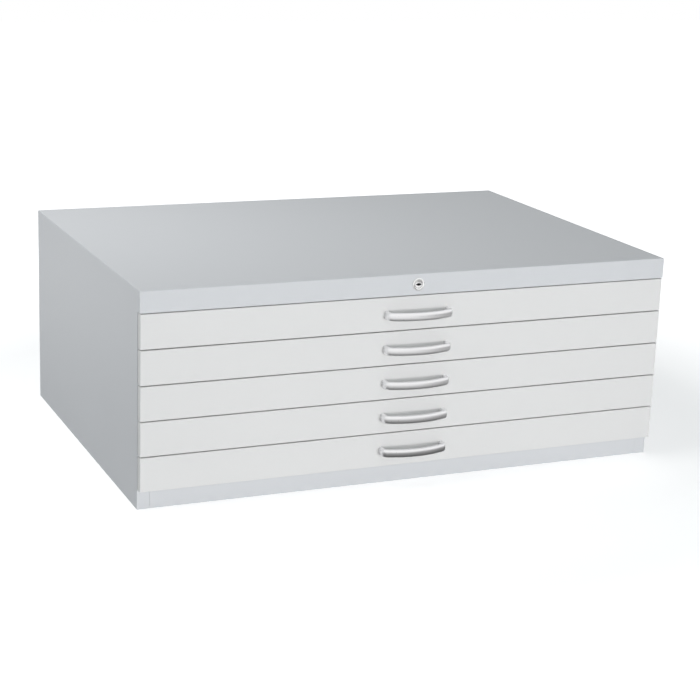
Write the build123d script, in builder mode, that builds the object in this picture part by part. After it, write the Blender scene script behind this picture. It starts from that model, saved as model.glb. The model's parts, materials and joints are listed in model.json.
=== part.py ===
from build123d import *
import math
import os

# Plan chest: a steel carcass with five shallow drawers on telescopic runners.
# It stands on Z = 0, the front looks along -Y and X = 0 is the middle of the width.
# All sizes are millimetres.

os.makedirs("parts", exist_ok=True)

# Carcass
case_width = 1100.0
case_depth = 765.0
drawer_count = 5
drawer_pitch = 68.0
rail_height = 41.0
plinth_height = 39.0
sheet = 1.2
bend = 2.5
top_lip = 3.0
side_flange = 24.0
side_hem = 12.0
rear_flange = 16.0
top_flange = 15.0
joggle_overlap = 8.0
rail_lip = 8.0
back_fold = 12.0
base_flange = 15.0
plinth_side_gap = 0.4
plinth_ledge = 25.0
plinth_lip = 8.0

# Drawer fronts
front_depth = 15.0
front_gap = 1.7
front_inset = 1.0
front_stand_off = 0.5
front_skin = 1.0
front_bend = 1.6
liner_sheet = 0.8
liner_flange = 8.0
liner_gap = 0.2

# Bow handles
handle_spacing = 128.0
handle_thickness = 9.5
handle_height = 16.0
handle_bevel = 2.6
handle_end_reach = 17.0
handle_middle_reach = 30.0
handle_turn = 7.5
handle_drop = 0.8

# Trays, catches and hoods
tray_sheet = 1.0
tray_lift = 6.0
tray_height = 48.0
tray_rim = 7.0
rear_space = 40.0
catch_width = 24.0
catch_reach = 16.0
catch_level = 30.0
catch_foot = 10.0
catch_drop = 8.0
catch_sheet = 1.5
hood_depth = 90.0
hood_sheet = 0.8
hood_drop = 10.0
hood_lip = 5.0
hood_lip_angle = 45.0

# Telescopic runners
runner_length = 690.0
runner_height = 35.0
runner_thickness = 12.7
runner_sheet = 1.2
runner_play = 0.35
runner_lift = 6.0
runner_hook = 2.0
runner_set_back = 2.0
lip_to_web = 1.5

# Uprights
post_width = 40.0
post_sheet = 1.5
post_foot = 14.0
front_post_set_back = 34.0
rear_post_overhang = 1.5
post_to_flange = 0.5
post_floor_gap = 1.0
post_head_room = 8.0

# Cross channels under the top
channel_height = 32.0
channel_flange = 20.0
channel_sheet = 1.5
channel_end_gap = 1.0
front_channel_set_back = 150.0
rear_channel_set_back = 150.0

# Lock
rosette_radius = 12.5
rosette_height = 2.4
rosette_bevel = 1.0
barrel_radius = 9.0
barrel_length = 24.0
plug_radius = 7.5
plug_length = 26.0
plug_recess = 0.6
keyway_width = 10.0
keyway_height = 1.8
keyway_core_radius = 2.3
keyway_depth = 9.0
lock_play = 0.3
nut_across_flats = 24.0
nut_height = 3.5
tail_radius = 3.0
tail_length = 10.0
socket_radius = 7.0
socket_end_gap = 0.5
shaft_radius = 4.0
disc_radius = 11.0
disc_height = 5.0
pin_radius = 2.5
pin_end_gap = 2.0

# Locking bar
bar_travel = 9.0
bar_width = 30.0
bar_sheet = 3.0
bar_gap = 24.0
bar_head = 6.0
bar_foot = 4.0
slot_play = 0.5
hook_width = 16.0
hook_sheet = 2.0
hook_foot = 12.0
hook_to_catch = 1.0
hook_reach_gap = 4.0
guide_height = 16.0
guide_sheet = 1.5
guide_foot = 14.0
guide_play = 0.4

# Places worked out from the sizes above
case_height = plinth_height + drawer_count * drawer_pitch + rail_height
handle_reach = handle_middle_reach + handle_thickness / 2
back_y = (case_depth + handle_reach) / 2
front_y = back_y - case_depth
half_width = case_width / 2
wall_x = half_width - sheet
flange_y = front_y + front_depth + front_stand_off
flange_x = half_width - side_flange
rail_bottom = case_height - rail_height
under_top = case_height - sheet
side_top = case_height - top_lip
back_inner_y = back_y - sheet
runner_outer_x = flange_x - post_to_flange
tray_half = runner_outer_x - runner_thickness
tray_front_y = front_y + front_depth
tray_back_y = back_inner_y - rear_space
runner_front_y = flange_y + runner_set_back
lock_z = case_height - rail_height / 2
bar_y = tray_back_y + bar_gap
crank_radius = bar_travel / math.sqrt(2)


def cell_bottom(number):
    """Lowest level of the space of drawer 1 (the top one) to drawer_count."""
    return rail_bottom - number * drawer_pitch


def facing_front(y):
    """Plane at depth y whose extrusions come forward; its own x and y are the width and the height."""
    return Plane.XZ.offset(-y)


def folded(points, thickness, side, radius=0.0):
    """Outline of a strip of sheet that is folded along the given points."""
    with BuildLine() as strip:
        if radius:
            FilletPolyline(*points, radius=radius)
        else:
            Polyline(*points)
        offset(amount=thickness, side=side, kind=Kind.INTERSECTION)
    return strip.edges()


def finish_piece(piece, name):
    """Labels a finished piece and writes it under its name."""
    piece.part.label = name
    export_step(piece.part, "parts/" + name + ".step")


def finish_group(pieces, name):
    """Labels solids that are fastened to each other and writes them together."""
    solids = []
    for piece in pieces:
        solids.extend(piece.solids())
    group = Compound(solids)
    group.label = name
    export_step(group, "parts/" + name + ".step")


# Right side panel: wall, folded front with its hem, folded rear and a joggled top flange
with BuildPart() as right_side_panel:
    with BuildSketch():
        make_face(
            folded(
                [
                    (half_width - rear_flange, back_inner_y),
                    (half_width, back_inner_y),
                    (half_width, flange_y),
                    (flange_x, flange_y),
                ],
                sheet,
                Side.RIGHT,
            )
        )
    extrude(amount=side_top)
    with BuildSketch(Plane.XY.offset(plinth_height)):
        with Locations((flange_x, flange_y + sheet)):
            Rectangle(sheet, side_hem, align=(Align.MIN, Align.MIN))
    extrude(amount=rail_bottom - plinth_height)
    with BuildSketch(facing_front(back_inner_y - sheet)):
        make_face(
            folded(
                [
                    (wall_x, side_top - joggle_overlap),
                    (wall_x, under_top),
                    (half_width - top_flange, under_top),
                ],
                sheet,
                Side.LEFT,
                bend,
            )
        )
    extrude(amount=back_inner_y - flange_y - 2 * sheet)
finish_piece(right_side_panel, "right_side_panel")

with BuildPart() as left_side_panel:
    mirror(right_side_panel.part, about=Plane.YZ)
finish_piece(left_side_panel, "left_side_panel")

# Top panel: rounded plate with a short lip, its front folded down and back as the rail
with BuildPart() as top_panel:
    with BuildSketch(Plane.XY.offset(rail_bottom)):
        with Locations((0, (front_y + back_y) / 2)):
            Rectangle(case_width, case_depth)
    extrude(amount=rail_height)
    fillet(top_panel.faces().sort_by(Axis.Z)[-1].edges(), radius=bend)
    offset(amount=-sheet, openings=top_panel.faces().sort_by(Axis.Z)[0])
    with BuildSketch(Plane.XY.offset(rail_bottom)):
        with Locations((0, (flange_y + back_y) / 2)):
            Rectangle(case_width, back_y - flange_y)
    extrude(amount=side_top - rail_bottom, mode=Mode.SUBTRACT)
    with BuildSketch(Plane.YZ.offset(-wall_x)):
        make_face(
            folded(
                [
                    (front_y + sheet, rail_bottom),
                    (flange_y, rail_bottom),
                    (flange_y, rail_bottom + rail_lip),
                ],
                sheet,
                Side.LEFT,
            )
        )
    extrude(amount=2 * wall_x)
    with BuildSketch(facing_front(front_y + sheet)):
        with Locations((0, lock_z)):
            Circle(barrel_radius)
    extrude(amount=sheet, mode=Mode.SUBTRACT)
finish_piece(top_panel, "top_panel")

# Back panel over the folded rear edges of the sides, with a stiffening fold along its head
with BuildPart() as back_panel:
    with BuildSketch(facing_front(back_y)):
        with Locations((0, side_top / 2)):
            Rectangle(case_width, side_top)
    extrude(amount=sheet)
    with BuildSketch(Plane.XY.offset(side_top - sheet)):
        with Locations((0, back_inner_y)):
            Rectangle(
                2 * (half_width - rear_flange - channel_end_gap),
                back_fold,
                align=(Align.CENTER, Align.MAX),
            )
    extrude(amount=sheet)
finish_piece(back_panel, "back_panel")

# Base panel: flat tray between the walls, its underside level with their feet
with BuildPart() as base_panel:
    with BuildSketch():
        with Locations((0, flange_y + sheet)):
            Rectangle(
                2 * wall_x,
                back_inner_y - flange_y - 2 * sheet,
                align=(Align.CENTER, Align.MIN),
            )
    extrude(amount=base_flange)
    offset(amount=-sheet, openings=base_panel.faces().sort_by(Axis.Z)[-1])
finish_piece(base_panel, "base_panel")

# Plinth panel between the side flanges, folded back as a ledge under the lowest drawer
plinth_half = flange_x - plinth_side_gap
with BuildPart() as plinth_panel:
    with BuildSketch(Plane.YZ.offset(-plinth_half)):
        make_face(
            folded(
                [
                    (flange_y, 0),
                    (flange_y, plinth_height - front_gap),
                    (flange_y + plinth_ledge, plinth_height - front_gap),
                    (flange_y + plinth_ledge, plinth_height - front_gap - plinth_lip),
                ],
                sheet,
                Side.RIGHT,
            )
        )
    extrude(amount=2 * plinth_half)
finish_piece(plinth_panel, "plinth_panel")


def make_post(first_y):
    """Upright on the right wall: a hat section whose feet lie against the side panel."""
    foot_x = wall_x - post_sheet
    with BuildPart() as post:
        with BuildSketch(Plane.XY.offset(base_flange + post_floor_gap)):
            make_face(
                folded(
                    [
                        (foot_x, first_y - post_foot),
                        (foot_x, first_y),
                        (runner_outer_x, first_y),
                        (runner_outer_x, first_y + post_width),
                        (foot_x, first_y + post_width),
                        (foot_x, first_y + post_width + post_foot),
                    ],
                    post_sheet,
                    Side.RIGHT,
                )
            )
        extrude(amount=rail_bottom - post_head_room - base_flange - post_floor_gap)
    return post


front_right_post = make_post(flange_y + front_post_set_back)
finish_piece(front_right_post, "front_right_post")
rear_right_post = make_post(runner_front_y + runner_length + rear_post_overhang - post_width)
finish_piece(rear_right_post, "rear_right_post")

with BuildPart() as front_left_post:
    mirror(front_right_post.part, about=Plane.YZ)
finish_piece(front_left_post, "front_left_post")

with BuildPart() as rear_left_post:
    mirror(rear_right_post.part, about=Plane.YZ)
finish_piece(rear_left_post, "rear_left_post")


def make_channel(web_y):
    """Cross channel under the top plate, with the bearing hole of the lock shaft in its web."""
    half_length = half_width - top_flange - channel_end_gap
    with BuildPart() as channel:
        with BuildSketch(Plane.YZ.offset(-half_length)):
            make_face(
                folded(
                    [
                        (web_y + channel_flange, under_top),
                        (web_y, under_top),
                        (web_y, under_top - channel_height),
                        (web_y + channel_flange, under_top - channel_height),
                    ],
                    channel_sheet,
                    Side.LEFT,
                )
            )
        extrude(amount=2 * half_length)
        with BuildSketch(facing_front(web_y + channel_sheet)):
            with Locations((0, lock_z)):
                Circle(shaft_radius + lock_play)
        extrude(amount=channel_sheet, mode=Mode.SUBTRACT)
    return channel


front_top_channel = make_channel(front_y + front_channel_set_back)
finish_piece(front_top_channel, "front_top_channel")
rear_top_channel = make_channel(back_y - rear_channel_set_back)
finish_piece(rear_top_channel, "rear_top_channel")

# Lock housing: bevelled rosette on the rail and the barrel through it
with BuildPart() as lock_housing:
    with BuildSketch(facing_front(front_y)):
        with Locations((0, lock_z)):
            Circle(rosette_radius)
    extrude(amount=rosette_height)
    chamfer(lock_housing.faces().sort_by(Axis.Y)[0].edges(), length=rosette_bevel)
    with BuildSketch(facing_front(front_y + barrel_length)):
        with Locations((0, lock_z)):
            Circle(barrel_radius)
    extrude(amount=barrel_length)
    with BuildSketch(facing_front(front_y + barrel_length)):
        with Locations((0, lock_z)):
            Circle(plug_radius + lock_play)
    extrude(amount=barrel_length + rosette_height, mode=Mode.SUBTRACT)
finish_piece(lock_housing, "lock_housing")

# Hexagon nut that clamps the barrel behind the rail
with BuildPart() as lock_nut:
    with BuildSketch(facing_front(front_y + sheet + nut_height)):
        with Locations((0, lock_z)):
            RegularPolygon(radius=nut_across_flats / 2, side_count=6, major_radius=False)
            Circle(barrel_radius, mode=Mode.SUBTRACT)
    extrude(amount=nut_height)
finish_piece(lock_nut, "lock_nut")

# Plug with its keyway, and the tail that turns the shaft
plug_front_y = front_y - rosette_height + plug_recess
tail_front_y = plug_front_y + plug_length
with BuildPart() as lock_plug:
    with BuildSketch(facing_front(tail_front_y)):
        with Locations((0, lock_z)):
            Circle(plug_radius)
    extrude(amount=plug_length)
    with BuildSketch(facing_front(tail_front_y + tail_length)):
        with Locations((0, lock_z)):
            Circle(tail_radius)
    extrude(amount=tail_length)
    with BuildSketch(facing_front(plug_front_y + keyway_depth)):
        with Locations((0, lock_z)):
            Rectangle(keyway_width, keyway_height)
            Circle(keyway_core_radius)
    extrude(amount=keyway_depth, mode=Mode.SUBTRACT)
finish_piece(lock_plug, "lock_plug")

# Shaft from the plug's tail, which sits in its socket, to the disc behind the trays
disc_front_y = bar_y - guide_play - disc_height
socket_length = tail_length + socket_end_gap + socket_radius
with BuildPart() as lock_shaft:
    with BuildSketch(facing_front(tail_front_y + socket_length)):
        with Locations((0, lock_z)):
            Circle(socket_radius)
    extrude(amount=socket_length)
    with BuildSketch(facing_front(disc_front_y)):
        with Locations((0, lock_z)):
            Circle(shaft_radius)
    extrude(amount=disc_front_y - tail_front_y - socket_length)
    with BuildSketch(facing_front(tail_front_y + tail_length + socket_end_gap)):
        with Locations((0, lock_z)):
            Circle(tail_radius)
    extrude(amount=tail_length + socket_end_gap, mode=Mode.SUBTRACT)
finish_piece(lock_shaft, "lock_shaft")

# Crank disc whose pin starts low on the left and ends as far above the shaft, a quarter turn on
pin_offset = crank_radius / math.sqrt(2)
with BuildPart() as lock_crank:
    with BuildSketch(facing_front(disc_front_y + disc_height)):
        with Locations((0, lock_z)):
            Circle(disc_radius)
    extrude(amount=disc_height)
    with BuildSketch(facing_front(bar_y + bar_sheet + pin_end_gap)):
        with Locations((-pin_offset, lock_z - pin_offset)):
            Circle(pin_radius)
    extrude(amount=bar_sheet + pin_end_gap + guide_play)
finish_piece(lock_crank, "lock_crank")

# Levels of each drawer's catch, and of the arm of the hook below it at rest
catch_levels = []
for number in range(1, drawer_count + 1):
    catch_levels.append(cell_bottom(number) + tray_lift + catch_level)
arm_drop = catch_drop + hook_to_catch + bar_travel
hook_lip = catch_drop - catch_sheet

# Locking bar: upright strip with the slot for the crank pin
slot_end_play = pin_radius + slot_play
with BuildPart() as bar_strip:
    bar_top = lock_z + bar_head
    bar_bottom = catch_levels[-1] - arm_drop - hook_foot - bar_foot
    with BuildSketch(facing_front(bar_y + bar_sheet)):
        with Locations((0, (bar_top + bar_bottom) / 2)):
            Rectangle(bar_width, bar_top - bar_bottom)
        with Locations((-(pin_offset + crank_radius) / 2, lock_z - pin_offset)):
            SlotCenterToCenter(
                crank_radius - pin_offset, 2 * slot_end_play, mode=Mode.SUBTRACT
            )
    extrude(amount=bar_sheet)

# Folded hooks on the strip, one for each drawer
with BuildPart() as bar_hooks:
    for level in catch_levels:
        arm_z = level - arm_drop
        lip_y = tray_back_y + catch_reach - catch_sheet - hook_reach_gap
        with BuildSketch(Plane.YZ.offset(-hook_width / 2)):
            make_face(
                folded(
                    [
                        (bar_y, arm_z - hook_foot),
                        (bar_y, arm_z),
                        (lip_y, arm_z),
                        (lip_y, arm_z + hook_lip),
                    ],
                    hook_sheet,
                    Side.LEFT,
                )
            )
        extrude(amount=hook_width)
finish_group([bar_strip, bar_hooks], "locking_bar")

# Two guides on the back panel that the locking bar slides in, above its first and last hooks
guide_half = bar_width / 2 + guide_play
guide_rise = (drawer_pitch - arm_drop - hook_sheet - hook_foot) / 2
guide_levels = [catch_levels[1] + guide_rise, catch_levels[-1] + guide_rise]
with BuildPart() as bar_guides:
    for level in guide_levels:
        with BuildSketch(Plane.XY.offset(level - guide_height / 2)):
            make_face(
                folded(
                    [
                        (-guide_half - guide_foot, back_inner_y),
                        (-guide_half, back_inner_y),
                        (-guide_half, bar_y - guide_play),
                        (guide_half, bar_y - guide_play),
                        (guide_half, back_inner_y),
                        (guide_half + guide_foot, back_inner_y),
                    ],
                    guide_sheet,
                    Side.RIGHT,
                )
            )
        extrude(amount=guide_height)
finish_piece(bar_guides, "bar_guides")


def runner_pair(section_points, side, number):
    """Left and right member of a drawer's runners, folded along points given in x and height."""
    middle_z = cell_bottom(number) + tray_lift + runner_lift + runner_height / 2
    with BuildPart() as pair:
        with BuildSketch(facing_front(runner_front_y + runner_length)):
            with Locations((0, middle_z)):
                add(make_face(folded(section_points, runner_sheet, side), mode=Mode.PRIVATE))
        extrude(amount=runner_length)
        mirror(about=Plane.YZ)
    return pair


def channel_points(web_x, lip_x, half_height, hook):
    """Points of a C section that opens towards the drawer, hooked at both lips."""
    return [
        (lip_x, half_height - hook),
        (lip_x, half_height),
        (web_x, half_height),
        (web_x, -half_height),
        (lip_x, -half_height),
        (lip_x, hook - half_height),
    ]


# Sections of the three nested members, from the post to the tray
cabinet_web_x = runner_outer_x
cabinet_lip_x = tray_half + runner_sheet + lip_to_web
cabinet_half = runner_height / 2
middle_web_x = cabinet_web_x - runner_sheet - runner_play
middle_lip_x = cabinet_lip_x + runner_sheet + runner_play
middle_half = cabinet_half - runner_sheet - runner_play
lip_hook = runner_sheet + runner_hook
drawer_lip_x = middle_lip_x + runner_sheet + runner_play
drawer_half = middle_half - runner_sheet - runner_play
drawer_neck = middle_half - lip_hook - runner_play
cabinet_section = channel_points(cabinet_web_x, cabinet_lip_x, cabinet_half, lip_hook)
middle_section = channel_points(middle_web_x, middle_lip_x, middle_half, lip_hook)
drawer_section = [
    (drawer_lip_x, drawer_half),
    (drawer_lip_x, drawer_neck),
    (tray_half, drawer_neck),
    (tray_half, -drawer_neck),
    (drawer_lip_x, -drawer_neck),
    (drawer_lip_x, -drawer_half),
]


def make_front(number):
    """Outer skin of a drawer front: a shallow pan with rounded folds."""
    low = cell_bottom(number)
    high = low + drawer_pitch - front_gap
    with BuildPart() as front:
        with BuildSketch(facing_front(tray_front_y)):
            with Locations((0, (low + high) / 2)):
                Rectangle(2 * (half_width - front_inset), high - low)
        extrude(amount=front_depth)
        fillet(front.faces().sort_by(Axis.Y)[0].edges(), radius=front_bend)
        offset(amount=-front_skin, openings=front.faces().sort_by(Axis.Y)[-1])
    return front


def make_liner(number):
    """Inner skin that closes the back of a drawer front, its edges folded forward inside it."""
    low = cell_bottom(number) + front_skin + liner_gap
    high = cell_bottom(number) + drawer_pitch - front_gap - front_skin - liner_gap
    half = half_width - front_inset - front_skin - liner_gap
    with BuildPart() as liner:
        with BuildSketch(facing_front(tray_front_y)):
            with Locations((0, (low + high) / 2)):
                Rectangle(2 * half, high - low)
        extrude(amount=liner_flange)
        offset(amount=-liner_sheet, openings=liner.faces().sort_by(Axis.Y)[0])
    return liner


def handle_level(number):
    """Height of a handle's middle line."""
    return cell_bottom(number) + (drawer_pitch - front_gap) / 2 - handle_drop


def make_handle(number):
    """Bow handle: two feet square to the front, turned smoothly into one bevelled arc."""
    foot_x = handle_spacing / 2
    with BuildPart() as handle:
        with BuildSketch(Plane.XY.offset(handle_level(number) - handle_height / 2)):
            with BuildLine() as route:
                left_foot = Line((-foot_x, front_y), (-foot_x, front_y - handle_end_reach))
                bow = ThreePointArc(
                    left_foot @ 1,
                    (0, front_y - handle_middle_reach),
                    (foot_x, front_y - handle_end_reach),
                )
                Line(bow @ 1, (foot_x, front_y))
                fillet(route.vertices().group_by(Axis.Y)[0], radius=handle_turn)
            trace(route.edges(), line_width=handle_thickness)
        extrude(amount=handle_height)
        rims = handle.faces().filter_by(Axis.Z).edges()
        chamfer(rims.filter_by(Axis.X, reverse=True), length=handle_bevel)
    return handle


def make_tray(number):
    """Open tray with turned-in rims."""
    floor = cell_bottom(number) + tray_lift
    with BuildPart() as tray:
        with BuildSketch(Plane.XY.offset(floor)):
            with Locations((0, tray_front_y)):
                Rectangle(
                    2 * tray_half,
                    tray_back_y - tray_front_y,
                    align=(Align.CENTER, Align.MIN),
                )
        extrude(amount=tray_height)
        offset(amount=-tray_sheet, openings=tray.faces().sort_by(Axis.Z)[-1])
        with BuildSketch(Plane.XY.offset(floor + tray_height - tray_sheet)):
            with Locations((tray_half - tray_sheet, tray_front_y + tray_sheet)):
                Rectangle(
                    tray_rim,
                    tray_back_y - tray_front_y - 2 * tray_sheet,
                    align=(Align.MAX, Align.MIN),
                )
            mirror(about=Plane.YZ)
        extrude(amount=tray_sheet)
    return tray


def make_catch(number):
    """Catch on the back of a tray, which the locking hook holds."""
    level = catch_levels[number - 1]
    with BuildPart() as catch:
        with BuildSketch(Plane.YZ.offset(-catch_width / 2)):
            make_face(
                folded(
                    [
                        (tray_back_y, level - catch_foot),
                        (tray_back_y, level),
                        (tray_back_y + catch_reach, level),
                        (tray_back_y + catch_reach, level - catch_drop),
                    ],
                    catch_sheet,
                    Side.RIGHT,
                )
            )
        extrude(amount=catch_width)
    return catch


def make_hood(number):
    """Hood over the back of a tray, hooked down behind it, its free edge turned up."""
    tray_top = cell_bottom(number) + tray_lift + tray_height
    rise = hood_lip * math.sin(math.radians(hood_lip_angle))
    run = hood_lip * math.cos(math.radians(hood_lip_angle))
    with BuildPart() as hood:
        with BuildSketch(Plane.YZ.offset(-tray_half)):
            make_face(
                folded(
                    [
                        (tray_back_y - hood_depth - run, tray_top + rise),
                        (tray_back_y - hood_depth, tray_top),
                        (tray_back_y, tray_top),
                        (tray_back_y, tray_top - hood_drop),
                    ],
                    hood_sheet,
                    Side.LEFT,
                )
            )
        extrude(amount=2 * tray_half)
    return hood


for number in range(1, drawer_count + 1):
    tag = str(number)
    finish_piece(make_front(number), "drawer_front_" + tag)
    finish_piece(make_liner(number), "front_liner_" + tag)
    finish_piece(make_handle(number), "bow_handle_" + tag)
    finish_group([make_tray(number), make_catch(number)], "drawer_tray_" + tag)
    finish_piece(make_hood(number), "rear_hood_" + tag)
    cabinet_pair = runner_pair(cabinet_section, Side.RIGHT, number)
    finish_piece(cabinet_pair, "cabinet_runners_" + tag)
    middle_pair = runner_pair(middle_section, Side.RIGHT, number)
    finish_piece(middle_pair, "middle_runners_" + tag)
    drawer_pair = runner_pair(drawer_section, Side.LEFT, number)
    finish_piece(drawer_pair, "drawer_runners_" + tag)
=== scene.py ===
"""Plan chest with five shallow drawers: finishes, handles, lock face, fixings, light and camera.

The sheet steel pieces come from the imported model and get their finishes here. The bow handles, the
lock's face and plug, the handle screws and the buffer dots are worked out here as surfaces. All
lengths are metres. Z is up, the front looks along -Y and X = 0 is the middle of the width.
"""

from __future__ import annotations

import json
import logging
import math
from dataclasses import dataclass
from enum import Enum
from typing import Optional, Sequence, Union

import bmesh
import bpy
import numpy as np
from mathutils import Matrix, Vector

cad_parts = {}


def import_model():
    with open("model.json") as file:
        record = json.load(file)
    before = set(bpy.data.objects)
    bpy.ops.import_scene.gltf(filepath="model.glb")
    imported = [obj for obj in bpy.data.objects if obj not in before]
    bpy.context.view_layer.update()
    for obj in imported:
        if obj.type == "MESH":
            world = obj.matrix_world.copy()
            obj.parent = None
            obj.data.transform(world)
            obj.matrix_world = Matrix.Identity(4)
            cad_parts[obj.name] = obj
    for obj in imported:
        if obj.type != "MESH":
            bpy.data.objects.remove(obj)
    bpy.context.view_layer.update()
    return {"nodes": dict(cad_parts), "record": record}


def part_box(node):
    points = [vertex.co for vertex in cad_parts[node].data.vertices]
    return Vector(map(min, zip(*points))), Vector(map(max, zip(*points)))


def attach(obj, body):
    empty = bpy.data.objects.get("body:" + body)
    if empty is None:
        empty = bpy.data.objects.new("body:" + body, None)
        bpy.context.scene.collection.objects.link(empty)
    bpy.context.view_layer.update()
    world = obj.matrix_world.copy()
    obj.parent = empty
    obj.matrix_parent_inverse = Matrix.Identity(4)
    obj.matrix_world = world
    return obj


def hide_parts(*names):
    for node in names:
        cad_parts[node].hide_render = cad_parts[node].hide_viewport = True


LOG = logging.getLogger("plan_chest")
MILLIMETRE = 0.001
DRAWERS = range(1, 6)
HANDLE_HALF_SPAN = 64.0 * MILLIMETRE
Triple = tuple[float, float, float]
Colour = Triple
WHITE: Colour = (1.0, 1.0, 1.0)


class Slot(Enum):
    """The record's material slots."""

    CARCASS = "carcass_paint"
    FRONT = "front_paint"
    TRAY = "tray_paint"
    HANDLE = "satin_handle"
    LOCK = "lock_chrome"
    PLATED = "plated_steel"
    BRIGHT = "bright_steel"


class Signal:
    """An output of a node, usable in sums: each operator adds one Math node."""

    def __init__(self, graph: Graph, socket: bpy.types.NodeSocket) -> None:
        """Keeps the graph and the socket."""
        self.graph = graph
        self.socket = socket

    def _math(self, operation: str, first: Value, second: Value) -> Signal:
        """Adds a Math node.

        Args:
            operation: name of the operation.
            first: left value or signal.
            second: right value or signal.

        Returns:
            The node's result.
        """
        return self.graph.add("ShaderNodeMath", {"operation": operation}, {0: first, 1: second})

    def __add__(self, other: Value) -> Signal:
        """self + other."""
        return self._math("ADD", self, other)

    def __radd__(self, other: Value) -> Signal:
        """other + self."""
        return self._math("ADD", other, self)

    def __sub__(self, other: Value) -> Signal:
        """self - other."""
        return self._math("SUBTRACT", self, other)

    def __rsub__(self, other: Value) -> Signal:
        """other - self."""
        return self._math("SUBTRACT", other, self)

    def __mul__(self, other: Value) -> Signal:
        """self * other."""
        return self._math("MULTIPLY", self, other)

    def __rmul__(self, other: Value) -> Signal:
        """other * self."""
        return self._math("MULTIPLY", other, self)

    def __truediv__(self, other: Value) -> Signal:
        """self / other."""
        return self._math("DIVIDE", self, other)

    def __rtruediv__(self, other: Value) -> Signal:
        """other / self."""
        return self._math("DIVIDE", other, self)

    def clamped(self) -> Signal:
        """The value held between 0 and 1."""
        return self.graph.add("ShaderNodeClamp", {}, {"Value": self})


Value = Union[Signal, float, int, tuple]


class Graph:
    """The node tree of one material or of the world, with one method that adds any node."""

    mix_first: int = 6
    mix_second: int = 7
    mix_result: int = 2
    bevel_samples: int = 4
    edge_gain: float = 6.0

    def __init__(self, tree: bpy.types.NodeTree) -> None:
        """Empties the tree."""
        self.tree = tree
        tree.nodes.clear()

    def add(
        self,
        kind: str,
        settings: Optional[dict] = None,
        inputs: Optional[dict] = None,
        output: Union[str, int] = 0,
    ) -> Signal:
        """Adds a node, sets it up and fills its sockets.

        Args:
            kind: the node's type.
            settings: attributes of the node, set first.
            inputs: values or signals by socket name or number.
            output: the socket that is wanted.

        Returns:
            The wanted output, or the first input of a node that ends the tree.
        """
        node = self.tree.nodes.new(kind)
        for key, value in (settings or {}).items():
            setattr(node, key, value)
        for key, value in (inputs or {}).items():
            if isinstance(value, Signal):
                self.tree.links.new(value.socket, node.inputs[key])
            else:
                node.inputs[key].default_value = value
        return Signal(self, node.outputs[output] if len(node.outputs) else node.inputs[0])

    def noise(self, where: Signal, scale: float, detail: float, roughness: float = 0.5) -> Signal:
        """Noise between about 0 and 1 at a scale in cycles per metre."""
        inputs = {"Vector": where, "Scale": scale, "Detail": detail, "Roughness": roughness}
        return self.add("ShaderNodeTexNoise", {"noise_dimensions": "3D"}, inputs)

    def place(self, scale: Triple = (1.0, 1.0, 1.0)) -> Signal:
        """Object coordinates in metres, stretched by scale."""
        where = self.add("ShaderNodeTexCoord", {}, {}, "Object")
        return self.add("ShaderNodeMapping", {}, {"Vector": where, "Scale": scale})

    def mixed(self, factor: Value, first: Value, second: Value) -> Signal:
        """A colour between two others.

        Args:
            factor: 0 for the first colour and 1 for the second.
            first: a colour or a signal that carries one.
            second: a colour or a signal that carries one.

        Returns:
            The mixed colour.
        """
        ends = [end if isinstance(end, Signal) else (*end, 1.0) for end in (first, second)]
        inputs = {0: factor, self.mix_first: ends[0], self.mix_second: ends[1]}
        return self.add("ShaderNodeMix", {"data_type": "RGBA"}, inputs, self.mix_result)

    def edges(self, radius: float) -> Signal:
        """Mask of the edges: how far a softened normal turns from the real one.

        Args:
            radius: how far the softening reaches, in metres.

        Returns:
            1 on edges and 0 on flat places.
        """
        soft = self.add("ShaderNodeBevel", {"samples": self.bevel_samples}, {"Radius": radius})
        plain = self.add("ShaderNodeNewGeometry", {}, {}, "Normal")
        both = {0: soft, 1: plain}
        likeness = self.add("ShaderNodeVectorMath", {"operation": "DOT_PRODUCT"}, both, "Value")
        return ((1.0 - likeness) * self.edge_gain).clamped()

    def bump(self, height: Signal, depth: float) -> Signal:
        """A normal that follows height times depth in metres."""
        inputs = {"Strength": 1.0, "Distance": depth, "Height": height}
        return self.add("ShaderNodeBump", {}, inputs)


@dataclass(frozen=True)
class Finish:
    """A surface finish: the base of the paints, metals and plastics."""

    name: str
    colour: Colour
    roughness: float

    def material(self) -> bpy.types.Material:
        """Makes the material and its nodes.

        Returns:
            The finished material.
        """
        material = bpy.data.materials.new(self.name)
        material.use_nodes = True
        material.diffuse_color = (*self.colour, 1.0)
        material.roughness = self.roughness
        graph = Graph(material.node_tree)
        shader = graph.add("ShaderNodeBsdfPrincipled", {}, self.sockets(graph))
        graph.add("ShaderNodeOutputMaterial", {}, {"Surface": shader})
        return material

    def sockets(self, graph: Graph) -> dict[str, Value]:
        """Values and signals of the main shader's sockets, which each kind of finish gives."""
        raise NotImplementedError(self.name)

    def toned(self, change: float) -> Colour:
        """The colour made lighter by a share of itself, or darker where the share is negative."""
        return tuple(min(1.0, channel * (1.0 + change)) for channel in self.colour)

    def uneven(self, pattern: Signal, spread: float) -> Signal:
        """The roughness, spread about its value by a pattern between 0 and 1."""
        return self.roughness + (pattern - 0.5) * spread


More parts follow.
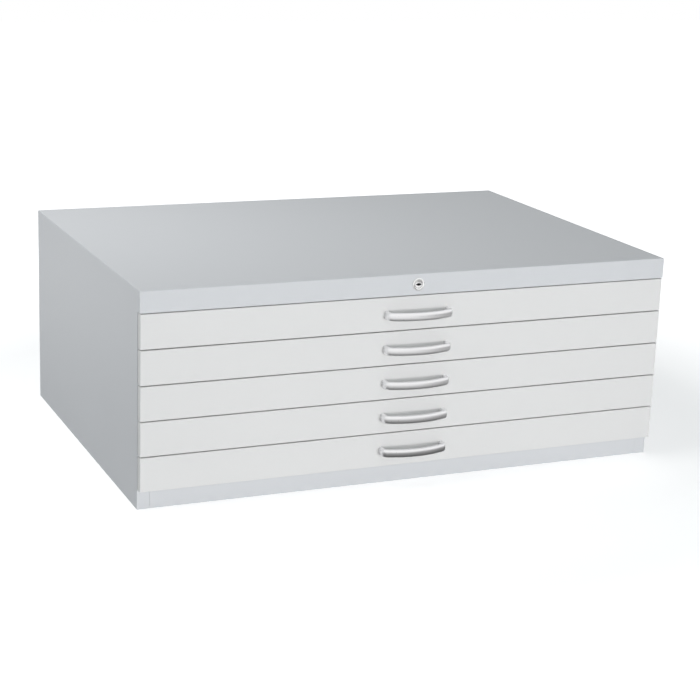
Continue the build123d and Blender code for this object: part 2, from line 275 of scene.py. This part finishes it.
@dataclass(frozen=True)
class PowderCoat(Finish):
    """Baked powder paint: fine orange peel, faint clouding, and a painted highlight that lightens
    the folds, where the paint is also a little rougher.

    The clouds and specks are in cycles per metre. The shares say how much of the clouding is
    clouds and how much of the painted edge highlight shows where there is no cloud.
    """

    peel_size: float = 0.9 * MILLIMETRE
    peel_depth: float = 0.012 * MILLIMETRE
    peel_coarseness: float = 0.45
    clouds: float = 2.3
    specks: float = 420.0
    cloud_share: float = 0.7
    clouding: float = 0.03
    edge_radius: float = 1.4 * MILLIMETRE
    edge_share: float = 0.4
    # how much lighter the painted edge highlight makes the folds
    edge_highlight: float = 0.10
    cloud_roughness: float = 0.08
    edge_roughness: float = 0.06
    specular: float = 0.4

    def sockets(self, graph: Graph) -> dict[str, Value]:
        """Colour, roughness and bump from object coordinates.

        Args:
            graph: the material's nodes.

        Returns:
            The main shader's sockets.
        """
        where = graph.place()
        cloud = graph.noise(where, self.clouds, detail=3.0)
        speck = graph.noise(where, self.specks, detail=1.0)
        edge = graph.edges(self.edge_radius)
        mottle = (cloud * self.cloud_share + speck * (1.0 - self.cloud_share)).clamped()
        body = graph.mixed(mottle, self.toned(-self.clouding), self.toned(self.clouding))
        # painted highlight: the edge mask lightens the folds, fully where the clouds are light and
        # by the edge share elsewhere
        painted_edge_highlight = edge * (self.edge_share + cloud * (1.0 - self.edge_share))
        peel = graph.noise(where, 1.0 / self.peel_size, 2.0, self.peel_coarseness)
        roughness = self.uneven(cloud, self.cloud_roughness) + edge * self.edge_roughness
        return {
            # base colour with the painted edge highlight mixed in along the folds
            "Base Color": graph.mixed(painted_edge_highlight, body, self.toned(self.edge_highlight)),
            "Roughness": roughness.clamped(),
            "Specular IOR Level": self.specular,
            "Normal": graph.bump(peel, self.peel_depth),
        }


@dataclass(frozen=True)
class BrushedMetal(Finish):
    """Metal with fine lines along one axis; grain and patches are in cycles per metre."""

    grain: Triple = (6.0, 700.0, 700.0)
    grain_depth: float = 0.004 * MILLIMETRE
    grain_coarseness: float = 0.6
    patches: float = 35.0
    line_share: float = 0.6
    tone_spread: float = 0.05
    roughness_spread: float = 0.14

    def sockets(self, graph: Graph) -> dict[str, Value]:
        """Colour, roughness and bump from object coordinates stretched along the grain.

        Args:
            graph: the material's nodes.

        Returns:
            The main shader's sockets.
        """
        line = graph.noise(graph.place(self.grain), 1.0, 3.0, self.grain_coarseness)
        patch = graph.noise(graph.place(), self.patches, detail=2.0)
        mottle = (line * self.line_share + patch * (1.0 - self.line_share)).clamped()
        return {
            "Base Color": graph.mixed(
                mottle, self.toned(-self.tone_spread), self.toned(self.tone_spread)
            ),
            "Metallic": 1.0,
            "Roughness": self.uneven(line, self.roughness_spread).clamped(),
            "Normal": graph.bump(line, self.grain_depth),
        }


@dataclass(frozen=True)
class ZincPlate(Finish):
    """Plated steel: crystal patches that differ a little in tone and gloss, with a fine grain.

    The grains are in cycles per metre.
    """

    patch_size: float = 6.0 * MILLIMETRE
    grains: float = 900.0
    grain_depth: float = 0.004 * MILLIMETRE
    tone_spread: float = 0.05
    roughness_spread: float = 0.09

    def sockets(self, graph: Graph) -> dict[str, Value]:
        """Colour and roughness from cells of uneven size, and a bump from the grain.

        Args:
            graph: the material's nodes.

        Returns:
            The main shader's sockets.
        """
        where = graph.place()
        cells = graph.add(
            "ShaderNodeTexVoronoi",
            {"voronoi_dimensions": "3D", "feature": "F1"},
            {"Vector": where, "Scale": 1.0 / self.patch_size},
            "Color",
        )
        shade = graph.add("ShaderNodeSeparateColor", {}, {"Color": cells})
        fine = graph.noise(where, self.grains, detail=2.0)
        return {
            "Base Color": graph.mixed(
                shade, self.toned(-self.tone_spread), self.toned(self.tone_spread)
            ),
            "Metallic": 1.0,
            "Roughness": self.uneven(shade, self.roughness_spread).clamped(),
            "Normal": graph.bump(fine, self.grain_depth),
        }


@dataclass(frozen=True)
class SoftPlastic(Finish):
    """Matt moulded plastic; its grains are in cycles per metre."""

    grains: float = 1600.0
    grain_depth: float = 0.01 * MILLIMETRE
    tone_spread: float = 0.1
    roughness_spread: float = 0.1

    def sockets(self, graph: Graph) -> dict[str, Value]:
        """Colour, roughness and bump from one grain.

        Args:
            graph: the material's nodes.

        Returns:
            The main shader's sockets.
        """
        grain = graph.noise(graph.place(), self.grains, detail=2.0)
        return {
            "Base Color": graph.mixed(grain, self.toned(-self.tone_spread), self.colour),
            "Roughness": self.uneven(grain, self.roughness_spread).clamped(),
            "Normal": graph.bump(grain, self.grain_depth),
        }


CARCASS_GREY: Colour = (0.660, 0.670, 0.690)
FINISHES: dict[Slot, Finish] = {
    Slot.CARCASS: PowderCoat("carcass powder coat", CARCASS_GREY, 0.42),
    Slot.FRONT: PowderCoat("front powder coat", (0.752, 0.746, 0.741), 0.42),
    Slot.TRAY: PowderCoat("tray powder coat", CARCASS_GREY, 0.48),
    Slot.HANDLE: BrushedMetal("satin handle metal", (0.88, 0.88, 0.89), 0.30),
    Slot.LOCK: BrushedMetal(
        "polished lock metal", (0.96, 0.96, 0.96), 0.13, grain=(300.0, 300.0, 300.0)
    ),
    Slot.PLATED: ZincPlate("plated steel", (0.65, 0.66, 0.67), 0.32),
    Slot.BRIGHT: BrushedMetal(
        "bright drawn steel", (0.68, 0.68, 0.68), 0.26, grain=(700.0, 6.0, 700.0)
    ),
}
BUFFER_PLASTIC = SoftPlastic("buffer plastic", (0.70, 0.71, 0.70), 0.6)
# Painted shade: a near-black matt cup put in the keyway, standing for the shade deep in its hollow
KEYWAY_SHADE = SoftPlastic("keyway lining", (0.035, 0.035, 0.038), 0.5)


class Workshop:
    """Makes each material once and turns grids of points into objects."""

    merge_distance: float = 1e-7
    shortest_edge: float = 1e-8
    sharp_angle: float = 38.0

    def __init__(self) -> None:
        """Makes the materials of all slots, the buffer plastic and the near-black painted shade of
        the keyway.
        """
        self.materials = {slot: finish.material() for slot, finish in FINISHES.items()}
        self.buffer = BUFFER_PLASTIC.material()
        # near-black painted shade for the keyway
        self.lining = KEYWAY_SHADE.material()

    @staticmethod
    def quads(rows: int, columns: int, around: bool) -> np.ndarray:
        """Faces of a grid of rows by columns of points, numbered row by row.

        Args:
            rows: number of rows.
            columns: number of columns.
            around: True if the last column joins the first.

        Returns:
            An array of four point numbers for each face.
        """
        row = np.arange(rows - 1)[:, None]
        column = np.arange(columns if around else columns - 1)[None, :]
        after = (column + 1) % columns
        corners = [row * columns + column, row * columns + after]
        corners += [(row + 1) * columns + after, (row + 1) * columns + column]
        shape = (rows - 1, column.size)
        return np.stack([np.broadcast_to(c, shape) for c in corners], -1).reshape(-1, 4)

    def piece(
        self, name: str, grids: Sequence[np.ndarray], material: bpy.types.Material
    ) -> bpy.types.Object:
        """Makes one object of several grids, each of rows by columns by three.

        Args:
            name: the piece's name.
            grids: arrays of points in metres, closed around their rows.
            material: what the piece is made of.

        Returns:
            The finished object, at the origin.
        """
        faces, start = [], 0
        for grid in grids:
            faces.append(self.quads(grid.shape[0], grid.shape[1], True) + start)
            start += grid.shape[0] * grid.shape[1]
        points = np.concatenate([grid.reshape(-1, 3) for grid in grids])
        mesh = bpy.data.meshes.new(name)
        mesh.from_pydata(points.tolist(), [], np.concatenate(faces).tolist())
        self._close(mesh)
        mesh.materials.append(material)
        piece = bpy.data.objects.new(name, mesh)
        bpy.context.scene.collection.objects.link(piece)
        return piece

    def _close(self, mesh: bpy.types.Mesh) -> None:
        """Merges doubled points at poles, turns all faces outwards and shades smooth by angle.

        Args:
            mesh: the mesh, which is changed.
        """
        work = bmesh.new()
        work.from_mesh(mesh)
        bmesh.ops.remove_doubles(work, verts=work.verts, dist=self.merge_distance)
        bmesh.ops.dissolve_degenerate(work, edges=work.edges, dist=self.shortest_edge)
        bmesh.ops.recalc_face_normals(work, faces=work.faces)
        work.to_mesh(mesh)
        work.free()
        mesh.polygons.foreach_set("use_smooth", np.ones(len(mesh.polygons), bool))
        mesh.set_sharp_from_angle(angle=math.radians(self.sharp_angle))
        mesh.update()


def turned(
    profile: np.ndarray, centre: Vector, columns: int, outline: Optional[np.ndarray] = None
) -> np.ndarray:
    """Surface of revolution about the Y direction.

    Formula: at step s of the profile and angle a, the point is the centre plus the radius of the
    step times (cos a, sin a) in X and Z, and the step's depth along +Y. Where an outline is given,
    a step with a negative radius takes the outline's radius at angle a times that radius without
    its sign.

    Args:
        profile: rows of (radius, depth along +Y), from front to back.
        centre: the point on the axis from which depth counts.
        columns: number of steps around.
        outline: radius at each step around, for the rows whose radius is negative.

    Returns:
        Points of shape rows by columns by three.
    """
    angle = full_turn(columns)
    radius = np.repeat(profile[:, :1], columns, axis=1)
    if outline is not None:
        radius = np.where(radius < 0.0, -radius * outline[None, :], radius)
    depth = np.repeat(profile[:, 1:2], columns, axis=1)
    x = centre.x + radius * np.cos(angle)
    z = centre.z + radius * np.sin(angle)
    return np.stack([x, centre.y + depth, z], -1)


def full_turn(steps: int) -> np.ndarray:
    """Angles of a whole turn in even steps, in radians, without the last one."""
    return np.linspace(0.0, 2.0 * math.pi, steps, endpoint=False)


def corner_arc(start: float, end: float, steps: int) -> np.ndarray:
    """Angles of an arc in degrees turned into radians."""
    return np.radians(np.linspace(start, end, steps))


def face_middle(low: Vector, high: Vector) -> Vector:
    """Middle of the front face of a box, from its lowest and highest corners."""
    return Vector(((low.x + high.x) / 2.0, low.y, (low.z + high.z) / 2.0))


@dataclass
class BowHandle:
    """Cast bow handle: an oval bar that leaves the front squarely and turns into one long arc."""

    shop: Workshop
    number: int
    half_span: float = HANDLE_HALF_SPAN
    end_reach: float = 17.0 * MILLIMETRE
    middle_reach: float = 30.0 * MILLIMETRE
    turn: float = 7.5 * MILLIMETRE
    half_thickness: float = 4.75 * MILLIMETRE
    half_height: float = 8.0 * MILLIMETRE
    squareness: float = 2.5
    around: int = 40
    foot_steps: int = 6
    bend_steps: int = 14
    bow_steps: int = 24

    def route(self) -> np.ndarray:
        """Middle line in plan.

        Formula: a straight foot runs out from the front, a bend of radius turn follows, and the
        bow is a circular arc through the two ends at end_reach and the middle at middle_reach.
        The right half mirrors the left.

        Returns:
            Rows of (x, reach, direction x, direction reach), evenly dense in the curves.
        """
        rise = self.middle_reach - self.end_reach
        radius = (self.half_span**2 + rise**2) / (2.0 * rise)
        centre = self.middle_reach - radius
        inner = radius - self.turn
        turn_x = -self.half_span + self.turn
        turn_reach = centre + math.sqrt(inner**2 - turn_x**2)
        meet = math.atan2(turn_reach - centre, turn_x)
        foot_reach = np.linspace(0.0, turn_reach, self.foot_steps)
        foot = np.stack([np.full(self.foot_steps, -self.half_span), foot_reach], -1)
        sweep = np.linspace(math.pi, meet, self.bend_steps)[1:]
        bend_x = turn_x + self.turn * np.cos(sweep)
        bend = np.stack([bend_x, turn_reach + self.turn * np.sin(sweep)], -1)
        along = np.linspace(meet, math.pi / 2.0, self.bow_steps)[1:]
        bow = np.stack([radius * np.cos(along), centre + radius * np.sin(along)], -1)
        half = np.concatenate([foot, bend, bow])
        line = np.concatenate([half, half[-2::-1] * (-1.0, 1.0)])
        direction = np.gradient(line, axis=0)
        direction /= np.linalg.norm(direction, axis=1, keepdims=True)
        direction[[0, -1]] = ((0.0, 1.0), (0.0, -1.0))
        return np.concatenate([line, direction], axis=1)

    def surface(self, face_y: float, level: float) -> np.ndarray:
        """Section carried along the middle line.

        Formula: the section is the oval |a / half_thickness|^n + |b / half_height|^n = 1 with n
        the squareness, a across the bar in plan and b along Z.

        Args:
            face_y: Y of the drawer front's face.
            level: height of the middle line.

        Returns:
            Points of shape rows by columns by three.
        """
        route = self.route()
        angle = full_turn(self.around)
        power = 2.0 / self.squareness
        cosine, sine = np.cos(angle), np.sin(angle)
        across = np.sign(cosine) * np.abs(cosine) ** power * self.half_thickness
        upward = np.sign(sine) * np.abs(sine) ** power * self.half_height
        x = route[:, 0:1] + route[:, 3:4] * across
        reach = route[:, 1:2] - route[:, 2:3] * across
        z = level + np.repeat(upward[None, :], len(route), axis=0)
        return np.stack([x, face_y - np.maximum(reach, 0.0), z], -1)

    def build(self) -> bpy.types.Object:
        """Makes the handle in the place of its plain solid, with closed feet.

        Returns:
            The handle.
        """
        node = f"bow_handle_{self.number}"
        low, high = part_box(node)
        skin = self.surface(high.y, (low.z + high.z) / 2.0)
        caps = [np.repeat(skin[end].mean(axis=0)[None], self.around, axis=0) for end in (0, -1)]
        closed = np.concatenate([caps[0][None], skin, caps[1][None]])
        piece = self.shop.piece(f"{node}_cast", [closed], self.shop.materials[Slot.HANDLE])
        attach(piece, f"drawer_{self.number}")
        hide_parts(node)
        return piece


@dataclass
class LockFace:
    """Cylinder lock in the top rail: a rounded rosette on its barrel, and the plug's keyway."""

    shop: Workshop
    rosette: float = 12.5 * MILLIMETRE
    rosette_height: float = 2.4 * MILLIMETRE
    rim: float = 1.2 * MILLIMETRE
    rim_end_angle: float = -55.0
    rim_steps: int = 14
    dish_depth: float = 0.10 * MILLIMETRE
    neck: float = 11.5 * MILLIMETRE
    barrel: float = 9.0 * MILLIMETRE
    bore: float = 7.8 * MILLIMETRE
    groove: float = 1.3 * MILLIMETRE
    groove_depth: float = 0.28 * MILLIMETRE
    lip: float = 0.1 * MILLIMETRE
    lip_depth: float = 0.04 * MILLIMETRE
    plug: float = 7.5 * MILLIMETRE
    plug_edge: float = 0.4 * MILLIMETRE
    plug_edge_steps: int = 5
    key_width: float = 11.4 * MILLIMETRE
    key_height: float = 5.2 * MILLIMETRE
    key_sharpness: float = 1.4
    key_depth: float = 9.0 * MILLIMETRE
    key_flare: float = 1.04
    key_flare_depth: float = 0.25 * MILLIMETRE
    # The keyway's painted shade: a near-black cup of this wall thickness, whose mouth stops this far
    # under the face, just inside the keyway's outline
    lining: float = 0.25 * MILLIMETRE
    shade_lining_mouth: float = 0.3 * MILLIMETRE
    shade_lining_outside: float = 0.99
    tail: float = 3.0 * MILLIMETRE
    tail_length: float = 10.0 * MILLIMETRE
    around: int = 96

    def build_housing(self) -> bpy.types.Object:
        """Rosette and barrel turned as one ring.

        Formula: the profile runs from the barrel out behind the rosette, round its rim, which
        rolls in again behind, across its slightly dished face, over a lip and down the slope of
        a groove into the bore, and back outside the barrel.

        Returns:
            The housing.
        """
        low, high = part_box("lock_housing")
        length = high.y - low.y
        arc = corner_arc(self.rim_end_angle, 90.0, self.rim_steps)
        rim_radius = self.rosette - self.rim + self.rim * np.cos(arc)
        rim = np.stack([rim_radius, self.rim - self.rim * np.sin(arc)], -1)
        slope = self.bore + self.groove
        profile = [
            [[self.barrel, self.rosette_height], [self.neck, self.rosette_height]],
            rim,
            [[(self.rosette + slope) / 2.0, self.dish_depth]],
            [[slope, 0.0], [slope - self.lip, self.lip_depth], [self.bore, self.groove_depth]],
            [[self.bore, length], [self.barrel, length], [self.barrel, self.rosette_height]],
        ]
        grid = turned(np.concatenate(profile), face_middle(low, high), self.around)
        piece = self.shop.piece("lock_rosette", [grid], self.shop.materials[Slot.LOCK])
        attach(piece, "root")
        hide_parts("lock_housing")
        return piece

    def key_outline(self) -> np.ndarray:
        """Radius of the keyway's outline around its middle.

        Formula: a lying diamond with softened corners, |x / half width|^n + |z / half height|^n
        = 1 with n the sharpness, solved for the radius at angle a.

        Returns:
            One radius for each step around.
        """
        angle = full_turn(self.around)
        wide = np.abs(np.cos(angle)) / (self.key_width / 2.0)
        high = np.abs(np.sin(angle)) / (self.key_height / 2.0)
        return (wide**self.key_sharpness + high**self.key_sharpness) ** (-1.0 / self.key_sharpness)

    def build_plug(self) -> bpy.types.Object:
        """Plug with its keyway sunk into the face and its tail behind.

        Formula: rings run from the keyway's floor up its walls to the face, out to a small
        rounded edge, back along the plug, and in to the tail. Negative radii are shares of the
        keyway's outline.

        Returns:
            The plug.
        """
        low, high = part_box("lock_plug")
        total = high.y - low.y
        body = total - self.tail_length
        arc = corner_arc(90.0, 0.0, self.plug_edge_steps)
        edge_radius = self.plug - self.plug_edge + self.plug_edge * np.cos(arc)
        edge = np.stack([edge_radius, self.plug_edge - self.plug_edge * np.sin(arc)], -1)
        profile = [
            [[0.0, self.key_depth], [-0.5, self.key_depth], [-1.0, self.key_depth]],
            [[-1.0, self.key_flare_depth], [-self.key_flare, 0.0]],
            edge,
            [[self.plug, body], [self.tail, body], [self.tail, total], [0.0, total]],
        ]
        middle = face_middle(low, high)
        grid = turned(np.concatenate(profile), middle, self.around, self.key_outline())
        piece = self.shop.piece("lock_plug_keyed", [grid], self.shop.materials[Slot.LOCK])
        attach(piece, "lock")
        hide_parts("lock_plug")
        return piece

    def build_shade_lining(self) -> bpy.types.Object:
        """Painted shade in the keyway: a near-black cup whose wall lies against the keyway's own.

        Formula: rings run from the middle of the cup's floor to its wall, up to just under the
        plug's face, over the wall's thickness, down its outside and in again under the floor.
        Negative radii are shares of the keyway's outline.

        Returns:
            The cup of painted shade.
        """
        low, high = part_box("lock_plug")
        inside = 1.0 - 2.0 * self.lining / self.key_height
        floor = self.key_depth - self.lining
        profile = [
            [[0.0, floor], [-inside / 2.0, floor], [-inside, floor]],
            [[-inside, self.shade_lining_mouth], [-self.shade_lining_outside, self.shade_lining_mouth]],
            [[-self.shade_lining_outside, self.key_depth], [0.0, self.key_depth]],
        ]
        middle = face_middle(low, high)
        grid = turned(np.concatenate(profile), middle, self.around, self.key_outline())
        # the near-black cup of painted shade rides with the plug
        piece = self.shop.piece("lock_keyway_shade", [grid], self.shop.lining)
        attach(piece, "lock")
        return piece


@dataclass
class HandleScrews:
    """Two pan-head screws inside a tray that hold its handle through the front."""

    shop: Workshop
    number: int
    sheet: float = 1.0 * MILLIMETRE
    head: float = 4.2 * MILLIMETRE
    head_height: float = 2.6 * MILLIMETRE
    crown_angle: float = 62.0
    dome_steps: int = 8
    arm: float = 2.5 * MILLIMETRE
    arm_half_width: float = 0.55 * MILLIMETRE
    arm_margin: float = 1.05
    cross_floor: float = 0.35
    cross_taper: float = 0.6
    half_span: float = HANDLE_HALF_SPAN
    around: int = 48
    tiny: float = 1e-6

    def cross_outline(self) -> np.ndarray:
        """Radius of the driver cross.

        Formula: the larger of two slots at right angles, cut off at the arm's length. A slot's
        radius is its half width over the sine or cosine of the angle.

        Returns:
            One radius for each step around.
        """
        angle = full_turn(self.around)
        flat = self.arm_half_width / np.maximum(np.abs(np.sin(angle)), self.tiny)
        upright = self.arm_half_width / np.maximum(np.abs(np.cos(angle)), self.tiny)
        return np.minimum(np.maximum(flat, upright), self.arm)

    def head_surface(self, centre: Vector) -> np.ndarray:
        """Domed head with the cross sunk into it.

        Formula: from the cross's floor up its walls to the crown, then down a part of a quarter
        ellipse to the sheet. Negative radii are shares of the cross's outline.

        Args:
            centre: the point on the sheet under the head, on the screw's axis.

        Returns:
            Points of shape rows by columns by three.
        """
        arc = corner_arc(self.crown_angle, 0.0, self.dome_steps)
        crown = self.head_height * math.sin(arc[0])
        floor = crown * self.cross_floor
        dome = np.stack([self.head * np.cos(arc), self.head_height * np.sin(arc)], -1)
        dome[0, 0] = max(dome[0, 0], self.arm * self.arm_margin)
        cross = [[0.0, floor], [-self.cross_taper, floor], [-1.0, crown]]
        profile = np.concatenate([cross, dome, [[0.0, 0.0]]])
        return turned(profile, centre, self.around, self.cross_outline())

    def build(self) -> bpy.types.Object:
        """Makes both heads as one piece on the tray's front wall.

        Returns:
            The piece.
        """
        tray_low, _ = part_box(f"drawer_tray_{self.number}")
        low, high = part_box(f"bow_handle_{self.number}")
        level = (low.z + high.z) / 2.0
        sheet_y = tray_low.y + self.sheet
        places = [Vector((x, sheet_y, level)) for x in (-self.half_span, self.half_span)]
        grids = [self.head_surface(place) for place in places]
        name = f"handle_screws_{self.number}"
        piece = self.shop.piece(name, grids, self.shop.materials[Slot.PLATED])
        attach(piece, f"drawer_{self.number}")
        return piece


@dataclass
class BufferDots:
    """Four soft dots behind a drawer front that meet the folded side edges without a clang."""

    shop: Workshop
    number: int
    radius: float = 4.0 * MILLIMETRE
    height: float = 0.42 * MILLIMETRE
    rim_share: float = 0.2
    rim_steps: int = 6
    inset: float = 12.0 * MILLIMETRE
    rise: float = 14.0 * MILLIMETRE
    around: int = 32

    def build(self) -> bpy.types.Object:
        """Makes the four dots as one piece on the liner's back.

        Formula: each dot is a flat disc whose rim follows a quarter ellipse.

        Returns:
            The piece.
        """
        low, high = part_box(f"front_liner_{self.number}")
        arc = corner_arc(90.0, 0.0, self.rim_steps)
        rim_radius = self.radius * (1.0 - self.rim_share + self.rim_share * np.cos(arc))
        rim = np.stack([rim_radius, self.height * np.sin(arc)], -1)
        profile = np.concatenate([[[0.0, self.height]], rim, [[0.0, 0.0]]])
        grids = [
            turned(profile, Vector((x, high.y, z)), self.around)
            for x in (low.x + self.inset, high.x - self.inset)
            for z in (low.z + self.rise, high.z - self.rise)
        ]
        piece = self.shop.piece(f"buffer_dots_{self.number}", grids, self.shop.buffer)
        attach(piece, f"drawer_{self.number}")
        return piece


@dataclass
class SheetWork:
    """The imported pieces, which keep their shapes and get the finishes of the record's slots."""

    shop: Workshop

    def dress(self, nodes: dict[str, bpy.types.Object], parts: Sequence[dict]) -> None:
        """Gives every node the material of its slot.

        Args:
            nodes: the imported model's objects by name.
            parts: the record's rows, each with a node and its material slot.
        """
        for part in parts:
            slot = Slot(part["material_slot"])
            for place in nodes[part["node"]].material_slots:
                place.material = self.shop.materials[slot]
            LOG.info("%s: %s", part["node"], slot.value)


@dataclass
class Viewpoint:
    """The photograph's camera: place, angles in radians and focal length in pixels."""

    place: Triple = (-1.4296, -3.2981, 1.1728)
    yaw: float = 0.415
    pitch: float = 0.2717
    roll: float = 0.0367
    focal: float = 1757.0
    picture: float = 700.0
    sensor: float = 36.0
    reach: float = 100.0

    def build(self) -> bpy.types.Object:
        """Makes the camera from its three angles.

        Formula: forward = (sin yaw cos pitch, cos yaw cos pitch, -sin pitch), right = (cos yaw,
        -sin yaw, 0), up = right x forward, and roll turns right towards up.

        Returns:
            The camera.
        """
        ahead = math.cos(self.pitch)
        forward = Vector(
            (math.sin(self.yaw) * ahead, math.cos(self.yaw) * ahead, -math.sin(self.pitch))
        )
        level = Vector((math.cos(self.yaw), -math.sin(self.yaw), 0.0))
        upright = level.cross(forward)
        right = level * math.cos(self.roll) + upright * math.sin(self.roll)
        up = upright * math.cos(self.roll) - level * math.sin(self.roll)
        data = bpy.data.cameras.new("camera")
        data.sensor_width = self.sensor
        data.lens = self.focal * self.sensor / self.picture
        data.clip_end = self.reach
        camera = bpy.data.objects.new("camera", data)
        turn = Matrix((right, up, -forward)).transposed().to_4x4()
        camera.matrix_world = Matrix.Translation(Vector(self.place)) @ turn
        bpy.context.scene.collection.objects.link(camera)
        bpy.context.scene.camera = camera
        return camera


@dataclass
class Lamp:
    """A round lamp that lights matt surfaces; shiny ones mirror the surroundings instead."""

    name: str
    place: Triple
    aim: Triple
    size: float
    power: float

    def build(self) -> None:
        """Makes the lamp and turns it towards its aim."""
        data = bpy.data.lights.new(self.name, "AREA")
        data.shape = "DISK"
        data.size = self.size
        data.energy = self.power
        lamp = bpy.data.objects.new(self.name, data)
        lamp.visible_glossy = False
        lamp.visible_camera = False
        away = Vector(self.place) - Vector(self.aim)
        turn = away.to_track_quat("Z", "Y").to_matrix().to_4x4()
        lamp.matrix_world = Matrix.Translation(Vector(self.place)) @ turn
        bpy.context.scene.collection.objects.link(lamp)


@dataclass
class Studio:
    """Pale floor, white surroundings for the eye and for shiny metal, and soft light.

    Glow is what the eye sees of the floor and mirror is what shiny metal sees of it. Each has its
    near value up to a distance from the middle and its far value from another one on.
    """

    floor_half: float = 9.0
    floor_points: int = 5
    floor_colour: Colour = (0.80, 0.80, 0.80)
    bounce: float = 0.24
    glow_near: float = 0.55
    glow_far: float = 1.0
    glow_rise: tuple[float, float] = (0.9, 1.8)
    mirror_near: float = 0.10
    mirror_far: float = 1.0
    mirror_rise: tuple[float, float] = (0.4, 1.65)
    mirror_right: float = 0.7
    right_start: float = 0.5
    right_width: float = 1.1
    fill: Colour = (0.211, 0.236, 0.246)
    lamps: tuple[Lamp, ...] = (
        Lamp("key lamp", (1.8, -7.8, 0.3), (0.0, 0.0, 0.2), 1.0, 125.0),
        Lamp("low soft box", (0.6, -5.0, 0.08), (0.0, -0.4, 0.2), 2.8, 130.0),
        Lamp("high soft box", (0.7, -4.0, 3.0), (0.0, 0.0, 0.3), 3.0, 17.9),
        Lamp("left soft box", (-4.5, -1.0, 1.2), (0.0, 0.0, 0.2), 3.0, 31.5),
        Lamp("overhead soft box", (-0.9, -0.3, 2.2), (-0.4, 0.0, 0.4), 0.6, 6.8),
        Lamp("rear soft box", (-0.75, 0.4, 1.5), (-0.45, 0.2, 0.4), 0.6, 4.5),
    )

    @staticmethod
    def _ray(graph: Graph, kind: str) -> Signal:
        """1 for rays of a kind, such as Is Glossy Ray where shiny metal looks, and 0 otherwise."""
        return graph.add("ShaderNodeLightPath", {}, {}, kind)

    def _looks(self, graph: Graph) -> Signal:
        """1 where the eye looks, directly or through clear things, and 0 otherwise."""
        through = self._ray(graph, "Is Transmission Ray")
        return (self._ray(graph, "Is Camera Ray") + through).clamped()

    @staticmethod
    def _far(graph: Graph, rise: tuple[float, float], near: float, far: float) -> Signal:
        """A value that rises with the distance from the middle of the floor.

        Args:
            graph: the floor's nodes.
            rise: distances at which the rise starts and ends.
            near: value before the rise.
            far: value after the rise.

        Returns:
            The value.
        """
        start, end = rise
        where = {0: graph.place()}
        distance = graph.add("ShaderNodeVectorMath", {"operation": "LENGTH"}, where, "Value")
        return ((distance - start) / (end - start)).clamped() * (far - near) + near

    def build_floor(self) -> None:
        """Makes the floor: a plain sheet that shows a faint shadow on white.

        Formula: a flat square grid at height 0. Its glow rises from near to far with the distance
        from the middle, so that it turns into the white surroundings before its edge. What shiny
        things mirror of it rises the same way and falls off to the right.
        """
        line = np.linspace(-self.floor_half, self.floor_half, self.floor_points)
        x, y = np.meshgrid(line, line, indexing="xy")
        points = np.stack([x, y, np.zeros_like(x)], -1).reshape(-1, 3)
        faces = Workshop.quads(self.floor_points, self.floor_points, False)
        mesh = bpy.data.meshes.new("floor")
        mesh.from_pydata(points.tolist(), [], faces.tolist())
        material = bpy.data.materials.new("floor")
        material.use_nodes = True
        graph = Graph(material.node_tree)
        matt = graph.add("ShaderNodeBsdfDiffuse", {}, {"Color": (*self.floor_colour, 1.0)})
        seen = self._far(graph, self.glow_rise, self.glow_near, self.glow_far)
        shine = self._looks(graph) * seen + self._ray(graph, "Is Diffuse Ray") * self.bounce
        glow = graph.add("ShaderNodeEmission", {}, {"Color": shine, "Strength": 1.0})
        lit = graph.add("ShaderNodeAddShader", {}, {0: matt, 1: glow})
        across = graph.add("ShaderNodeSeparateXYZ", {}, {0: graph.place()}, "X")
        shaded = ((across - self.right_start) / self.right_width).clamped() * self.mirror_right
        mirrored = self._far(graph, self.mirror_rise, self.mirror_near, self.mirror_far)
        image = {"Color": mirrored * (1.0 - shaded), "Strength": 1.0}
        reflection = graph.add("ShaderNodeEmission", {}, image)
        glossy = self._ray(graph, "Is Glossy Ray")
        both = graph.add("ShaderNodeMixShader", {}, {0: glossy, 1: lit, 2: reflection})
        graph.add("ShaderNodeOutputMaterial", {}, {"Surface": both})
        mesh.materials.append(material)
        floor = bpy.data.objects.new("floor", mesh)
        bpy.context.scene.collection.objects.link(floor)

    def build_surroundings(self) -> None:
        """Makes the world: white where it is seen, a plain grey fill where it lights."""
        world = bpy.data.worlds.new("surroundings")
        bpy.context.scene.world = world
        world.use_nodes = True
        graph = Graph(world.node_tree)
        seen = (self._looks(graph) + self._ray(graph, "Is Glossy Ray")).clamped()
        colour = graph.mixed(seen, self.fill, WHITE)
        sky = graph.add("ShaderNodeBackground", {}, {"Color": colour, "Strength": 1.0})
        graph.add("ShaderNodeOutputWorld", {}, {"Surface": sky})

    def build(self) -> None:
        """Makes the floor, the surroundings and the lamps."""
        bpy.context.scene.view_settings.view_transform = "Standard"
        self.build_floor()
        self.build_surroundings()
        for lamp in self.lamps:
            lamp.build()


def main() -> None:
    """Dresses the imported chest, makes its detailed pieces, and sets up light and camera."""
    logging.basicConfig(level=logging.INFO, format="%(message)s")
    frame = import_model()
    shop = Workshop()
    Viewpoint().build()
    Studio().build()
    SheetWork(shop).dress(frame["nodes"], frame["record"]["subparts"])
    lock = LockFace(shop)
    made = [lock.build_housing(), lock.build_plug(), lock.build_shade_lining()]
    for number in DRAWERS:
        made.append(BowHandle(shop, number).build())
        made.append(HandleScrews(shop, number).build())
        made.append(BufferDots(shop, number).build())
    for piece in made:
        LOG.info("%s: %d faces", piece.name, len(piece.data.polygons))


if __name__ == "__main__":
    main()
